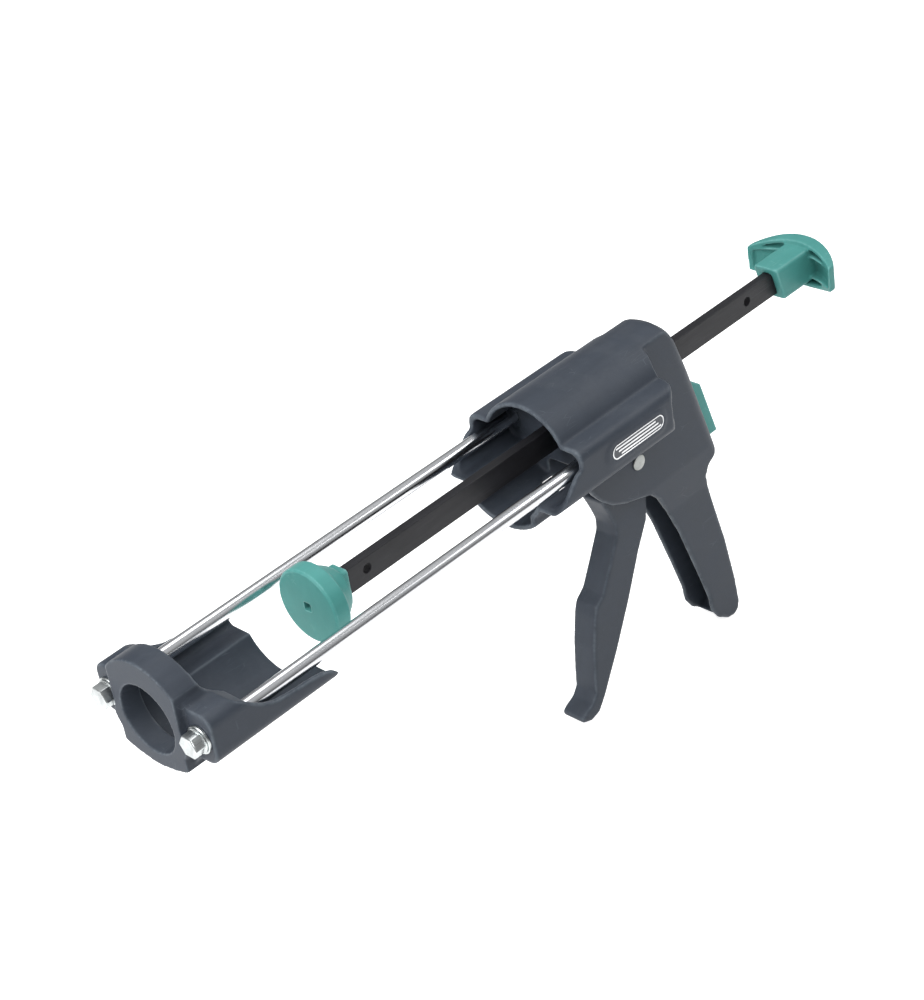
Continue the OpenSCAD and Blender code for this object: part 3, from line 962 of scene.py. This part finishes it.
@dataclass
class PistolBody:
    """The moulded body with its badges and the pivot pin through it."""

    cell: float = 0.85
    passes: int = 9
    badge_x: float = -306.0
    badge_y: float = 40.3
    badge_size: tuple[float, float] = (41.6, 8.6)
    pivot: tuple[float, float] = (-332.3, -39.0)
    side_half: float = 14.0
    pin_r: float = 3.0
    pin_head: float = 4.6

    def build(self) -> None:
        """Cast the body and add its trim."""
        cast("body", "pistol_moulding", Body.FRAME, FINISHES.slate, self.cell, self.passes)
        self.badges()
        self.pivot_pin()

    def badges(self) -> None:
        """Press a blank plate with a raised rim and three plain bars for each side."""
        bm = bmesh.new()
        long, tall = self.badge_size
        for side in (-1, 1):
            spot = Vector((self.badge_x * MM, side * self.badge_y * MM, 0))
            self.pill(bm, spot, side, (long, tall, 0.3), 0.22)
            for row in (-1, 0, 1):
                middle = spot + Vector((2.0 * row * MM, 0, 2.05 * row * MM))
                self.pill(bm, middle, side, (long - 9.0, 1.15, 0.34))
        finish_piece(bm, "badge_plates", Body.FRAME, FINISHES.badge, ("badges",), crease=30.0)

    def pill(
        self,
        bm: bmesh.types.BMesh,
        spot: Vector,
        side: int,
        size: tuple[float, float, float],
        sink: float = 0.0,
    ) -> None:
        """Add one long plate with round ends.

        Args:
            bm: The mesh to add to.
            spot: The middle of its seat, in metres.
            side: 1 on the left, -1 on the right.
            size: Length, height and thickness, in millimetres.
            sink: How far the field inside the rim is sunk, in millimetres.
        """
        long, tall, thick = size
        turn = Matrix.Translation(spot) @ Matrix.Rotation(math.radians(-90 * side), 4, "X")
        ring = bmesh.ops.create_circle(bm, cap_ends=True, segments=32, radius=tall / 2 * MM)
        stretch = (long - tall) / 2 * MM
        for vert in ring["verts"]:
            vert.co.x += math.copysign(stretch, vert.co.x) if abs(vert.co.x) > 1e-7 else 0.0
        face = ring["verts"][0].link_faces[0]
        top = bmesh.ops.extrude_face_region(bm, geom=[face])
        risen = [g for g in top["geom"] if isinstance(g, bmesh.types.BMVert)]
        bmesh.ops.translate(bm, verts=risen, vec=(0, 0, thick * MM))
        lid = next(g for g in top["geom"] if isinstance(g, bmesh.types.BMFace))
        lid.normal_update()
        if lid.normal.z < 0:
            bmesh.ops.reverse_faces(bm, faces=list(self.island(lid)))
        bmesh.ops.inset_region(bm, faces=[lid], thickness=0.15 * MM, depth=0.1 * MM)
        if sink:
            bmesh.ops.inset_region(bm, faces=[lid], thickness=0.5 * MM, depth=0.0)
            bmesh.ops.inset_region(bm, faces=[lid], thickness=0.12 * MM, depth=-sink * MM)
        whole = {vert for part in self.island(lid) for vert in part.verts}
        bmesh.ops.transform(bm, matrix=turn, verts=list(whole))

    def island(self, face: bmesh.types.BMFace) -> set[bmesh.types.BMFace]:
        """Find every face joined to one face.

        Args:
            face: The face to start from.

        Returns:
            The faces of its island.
        """
        seen, queue = {face}, [face]
        while queue:
            for edge in queue.pop().edges:
                for other in edge.link_faces:
                    if other not in seen:
                        seen.add(other)
                        queue.append(other)
        return seen

    def pivot_pin(self) -> None:
        """Turn the pivot pin with its domed head, and the cap on its far end."""
        x, z = self.pivot
        centre = Vector((x * MM, 0, z * MM))
        out, head = self.side_half, self.pin_head
        dome = [(0, head - 0.15), (0.15, head), (0.7, head)]
        pin_top = dome + [(1.05, 4.3), (1.2, 3.6), (1.2, 1.2), (1.05, 0.9), (1.05, 0)]
        pin_end = [(-out, 0), (-out, self.pin_r - 0.3), (-out + 0.3, self.pin_r), (out, self.pin_r)]
        cap_top = [(0, 0)] + dome + [(1.05, 4.2), (1.2, 3.4), (1.2, 0)]
        pin, cap = bmesh.new(), bmesh.new()
        lathe(pin, pin_end + [(out + a, r) for a, r in pin_top], centre, ACROSS, 48)
        lathe(cap, [(-out - a, r) for a, r in cap_top], centre, ACROSS, 48)
        for bm, name, node in (
            (pin, "pivot_pin_turned", "trigger_pin"),
            (cap, "pivot_cap_turned", "pin_cap"),
        ):
            finish_piece(bm, name, Body.FRAME, FINISHES.dull_zinc, (node,))


@dataclass
class Trigger:
    """The squeeze trigger and its steel nose pin."""

    cell: float = 0.62
    passes: int = 22

    def build(self) -> None:
        """Cast the lever and dress its pin."""
        cast("trigger", "trigger_moulding", Body.TRIGGER, FINISHES.slate, self.cell, self.passes)
        dress_node("nose_pin", FINISHES.stamped)


@dataclass
class DriveWorks:
    """The plates and springs hidden in the body."""

    coil_r: float = 8.95
    wire_r: float = 0.75
    steps: int = 40
    # The drive plate travels 9.3 mm; the rest keeps its coil clear of it.
    drive_travel: float = 9.6
    # A guess, and too much: the upright brake plate stops just short of its coil.
    brake_travel: float = 2.8

    def build(self) -> None:
        """Dress the plates and wind both springs."""
        dress_node("drive_plate", FINISHES.stamped)
        dress_node("brake_plate", FINISHES.stamped)
        drive = self.wind("drive_spring", "drive_coil", -321.1, -294.85, 5)
        self.squeeze(drive)
        brake = self.wind("brake_spring", "brake_coil", -359.9, -350.85, 2)
        self.squeeze(brake)

    def squeeze(self, coil: bpy.types.Object) -> None:
        """Give a coil its own copy of its mesh.

        Args:
            coil: The finished coil.
        """
        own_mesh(coil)

    def wind(
        self, node: str, name: str, start: float, end: float, turns: int
    ) -> bpy.types.Object:
        """Wind one coil round the bar by spinning a ring of wire forward as it turns.

        Args:
            node: The CAD node it stands for.
            name: The piece's name.
            start: Rear end of the wire's centre line, in millimetres.
            end: Front end of it, in millimetres.
            turns: Whole turns.

        Returns:
            The finished coil.
        """
        bm = bmesh.new()
        steps = turns * self.steps
        seat = Matrix.Translation((start * MM, self.coil_r * MM, 0))
        ring = bmesh.ops.create_circle(
            bm, cap_ends=True, segments=12, radius=self.wire_r * MM, matrix=seat
        )
        face = ring["verts"][0].link_faces[0]
        bmesh.ops.spin(
            bm, geom=[face], cent=(start * MM, 0, 0), axis=(1, 0, 0), angle=math.tau * turns,
            steps=steps, dvec=((end - start) * MM / steps, 0, 0), use_merge=False,
        )
        return finish_piece(bm, name, Body.FRAME, FINISHES.wire, (node,), crease=50.0)


@dataclass
class ReleaseButton:
    """The thumb button behind the body."""

    cell: float = 0.45
    passes: int = 6

    def build(self) -> None:
        """Cast the button."""
        cast(
            "release_button", "button_moulding", Body.BUTTON, FINISHES.teal, self.cell, self.passes
        )


@dataclass
class PushRod:
    """The sliding bar with its pusher, pull handle and screws."""

    cell: float = 0.5
    disc_passes: int = 4
    handle_passes: int = 36

    def build(self) -> None:
        """Build the rod's pieces."""
        eased("push_bar", "push_bar_sawn", Body.ROD, FINISHES.black, 0.45)
        for node, name, passes in (
            ("pusher_disc", "pusher_moulding", self.disc_passes),
            ("pull_handle", "handle_moulding", self.handle_passes),
        ):
            cast(node, name, Body.ROD, FINISHES.teal, self.cell, passes)
        for screw in ("pusher_screw", "handle_screw"):
            dress_node(screw, FINISHES.zinc)


@dataclass
class Studio:
    """Floor, lights and camera."""

    spot: Point = (0.4550, 0.7425, 0.6416)
    right: Point = (-0.67675, 0.72409, -0.13306)
    up: Point = (-0.47480, -0.29113, 0.83054)
    back: Point = (0.56265, 0.62525, 0.54082)
    lens: float = 83.84
    sensor: float = 36.0
    floor: float = -0.1895
    floor_half: float = 6.0
    glow: float = 0.75

    def build(self) -> None:
        """Set up the whole studio."""
        self.lay_floor()
        self.hang_lights()
        self.light_world()
        self.set_camera()

    def lay_floor(self) -> None:
        """Lay a wide pale floor under the gun."""
        bm = bmesh.new()
        level = Matrix.Translation((0, 0, self.floor))
        bmesh.ops.create_grid(bm, x_segments=1, y_segments=1, size=self.floor_half, matrix=level)
        mesh = bpy.data.meshes.new("studio_floor")
        bm.to_mesh(mesh)
        bm.free()
        floor = bpy.data.objects.new("studio_floor", mesh)
        bpy.context.scene.collection.objects.link(floor)
        material, sheet, shader, coords = start_material("pale_paper")
        cloud = sheet.noise(coords, 3.0, 3.0)
        paper = sheet.blend(cloud, (0.86, 0.86, 0.86, 1), (0.89, 0.89, 0.885, 1))
        sheet.feed(shader.inputs["Base Color"], paper)
        shader.inputs["Roughness"].default_value = 0.9
        shader.inputs["Emission Color"].default_value = (1, 1, 1, 1)
        path = sheet.add("LightPath")
        mirrored = sheet.maths("MULTIPLY", path.outputs["Is Glossy Ray"], 0.6)
        seen = sheet.maths("MAXIMUM", path.outputs["Is Camera Ray"], mirrored)
        sheet.feed(shader.inputs["Emission Strength"], sheet.maths("MULTIPLY", seen, self.glow))
        mesh.materials.append(material)

    def hang_lights(self) -> None:
        """Hang soft boxes round the gun."""
        self.soft_box("key", (0.35, 0.75, 1.15), (-0.25, 0, 0), 0.9, 0.6, 9.5)
        self.soft_box("top", (-0.25, -0.35, 1.3), (-0.25, 0, 0), 1.2, 0.8, 7.0)
        self.soft_box("rear", (-1.25, 0.35, 0.8), (-0.35, 0, 0), 0.7, 0.7, 6.0)
        self.soft_box("front", (0.95, -0.25, 0.55), (-0.1, 0, 0), 0.6, 0.8, 11.0)

    def soft_box(
        self, name: str, spot: Point, aim: Point, wide: float, tall: float, watts: float
    ) -> None:
        """Hang one rectangular lamp.

        Args:
            name: The lamp's name.
            spot: Where it hangs.
            aim: The point it faces.
            wide: Its width.
            tall: Its height.
            watts: Its power.
        """
        lamp = bpy.data.lights.new(name, "AREA")
        lamp.shape = "RECTANGLE"
        lamp.size, lamp.size_y, lamp.energy = wide, tall, watts
        holder = bpy.data.objects.new(name, lamp)
        holder.location = spot
        holder.rotation_mode = "QUATERNION"
        holder.rotation_quaternion = (Vector(aim) - Vector(spot)).to_track_quat("-Z", "Y")
        bpy.context.scene.collection.objects.link(holder)

    def light_world(self) -> None:
        """Fill the room with pale light that darkens towards the horizon for reflections."""
        world = bpy.data.worlds.new("studio_room")
        world.use_nodes = True
        bpy.context.scene.world = world
        sheet = Sheet(world.node_tree)
        backdrop = world.node_tree.nodes["Background"]
        split = sheet.add("SeparateXYZ")
        sheet.feed(split.inputs[0], sheet.add("TexCoord").outputs["Generated"])
        height = sheet.step(split.outputs["Z"], -0.05, 0.75, (0.16, 1.0))
        seen = sheet.add("LightPath").outputs["Is Camera Ray"]
        shade = sheet.maths("MAXIMUM", height, seen)
        pale = sheet.blend(shade, (0.02, 0.02, 0.022, 1), (0.93, 0.94, 0.95, 1))
        sheet.feed(backdrop.inputs["Color"], pale)
        backdrop.inputs["Strength"].default_value = 0.5

    def set_camera(self) -> None:
        """Place the camera on the gun's left, ahead and above."""
        data = bpy.data.cameras.new("view")
        data.lens = self.lens
        data.sensor_width = self.sensor
        data.clip_start, data.clip_end = 0.01, 50.0
        camera = bpy.data.objects.new("view", data)
        axes = Matrix((self.right, self.up, self.back)).transposed()
        camera.matrix_world = Matrix.Translation(self.spot) @ axes.to_4x4()
        bpy.context.scene.collection.objects.link(camera)
        bpy.context.scene.camera = camera
        bpy.context.scene.view_settings.view_transform = "Standard"


def main() -> None:
    """Build the studio and every piece of the gun."""
    logging.basicConfig(level=logging.INFO, format="%(message)s")
    Studio().build()
    for kind in (
        FrontFrame, RailSet, FrontFasteners, PistolBody, Trigger, DriveWorks, ReleaseButton, PushRod
    ):
        assembly = kind()
        assembly.build()
        log.info("%s built", type(assembly).__name__)


if __name__ == "__main__":
    main()
